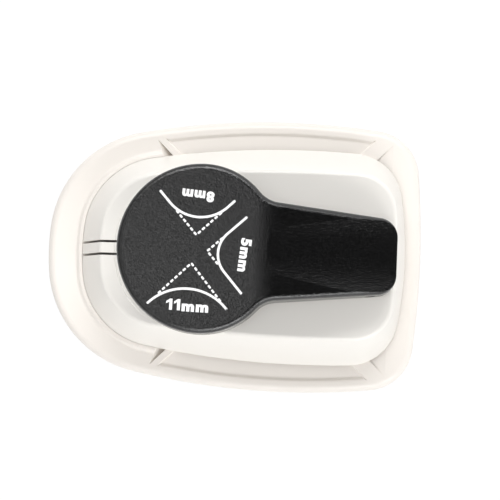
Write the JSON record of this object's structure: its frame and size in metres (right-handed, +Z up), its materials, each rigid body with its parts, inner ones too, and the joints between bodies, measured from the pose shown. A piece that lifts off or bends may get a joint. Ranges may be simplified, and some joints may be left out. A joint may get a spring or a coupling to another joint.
{
  "type": "corner rounder punch",
  "caption": "Desk corner rounder punch: palm lever over a drafted housing drives corner punches through a die plate on a wide base with paper guides, chip tray below.",
  "frame": {"origin": "middle of the footprint, on the desk", "axes": "+X from the round nose to the lever's hinge, +Y to the 8 mm station, +Z up"},
  "size_m": [0.1056, 0.0766, 0.055],
  "materials": {
    "cream_plastic": "fine satin moulded cream",
    "white_plastic": "smooth moulded warm white",
    "black_plastic": "fine grained black",
    "grey_plastic": "glass filled dark grey",
    "tray_plastic": "satin moulded cream",
    "tool_steel": "ground",
    "polished_steel": "polished",
    "spring_steel": "drawn wire",
    "zinc_screw": "zinc plated",
    "rubber_foot": "matt rubber"
  },
  "bodies": {
    "base": {"base_frame": "cream_plastic", "upper_housing": "white_plastic", "die_plate": "tool_steel", "die_screws": "zinc_screw", "stripper_plate": "tool_steel", "stripper_screws": "zinc_screw", "housing_screws": "zinc_screw", "tray_pin": "polished_steel", "guide_post_nose": "polished_steel", "return_spring_nose": "spring_steel", "guide_post_left": "polished_steel", "return_spring_left": "spring_steel", "guide_post_right": "polished_steel", "return_spring_right": "spring_steel", "foot_nose_left": "rubber_foot", "foot_nose_right": "rubber_foot", "foot_rear_left": "rubber_foot", "foot_rear_right": "rubber_foot"},
    "lever": {"press_lever": "black_plastic", "hinge_pin": "polished_steel"},
    "carrier": {"punch_carrier": "grey_plastic", "wear_plate": "polished_steel", "punch_screws": "zinc_screw", "punch_5mm": "tool_steel", "punch_8mm": "tool_steel", "punch_11mm": "tool_steel"},
    "tray": {"chip_tray": "tray_plastic"}
  },
  "joints": [
    {"name": "lever_hinge", "type": "hinge", "parent": "base", "child": "lever", "pos_m": [0.0377, 0, 0.0385], "axis": [0, -1, 0], "range_deg": [0, 8.15], "stiffness_Nm_per_rad": 0.6, "springref_deg": -5.73},
    {"name": "carrier_slide", "type": "slide", "parent": "base", "child": "carrier", "axis": [0, 0, -1], "range_m": [0, 0.004], "deforming": ["return_spring_nose", "return_spring_left", "return_spring_right"]},
    {"name": "tray_hinge", "type": "hinge", "parent": "base", "child": "tray", "pos_m": [0.04095, 0, 0.0026], "axis": [0, -1, 0], "range_deg": [0, 80]}
  ],
  "couplings": [
    {"joint": "carrier_slide", "follows": "lever_hinge", "m_per_rad": 0.0281}
  ]
}
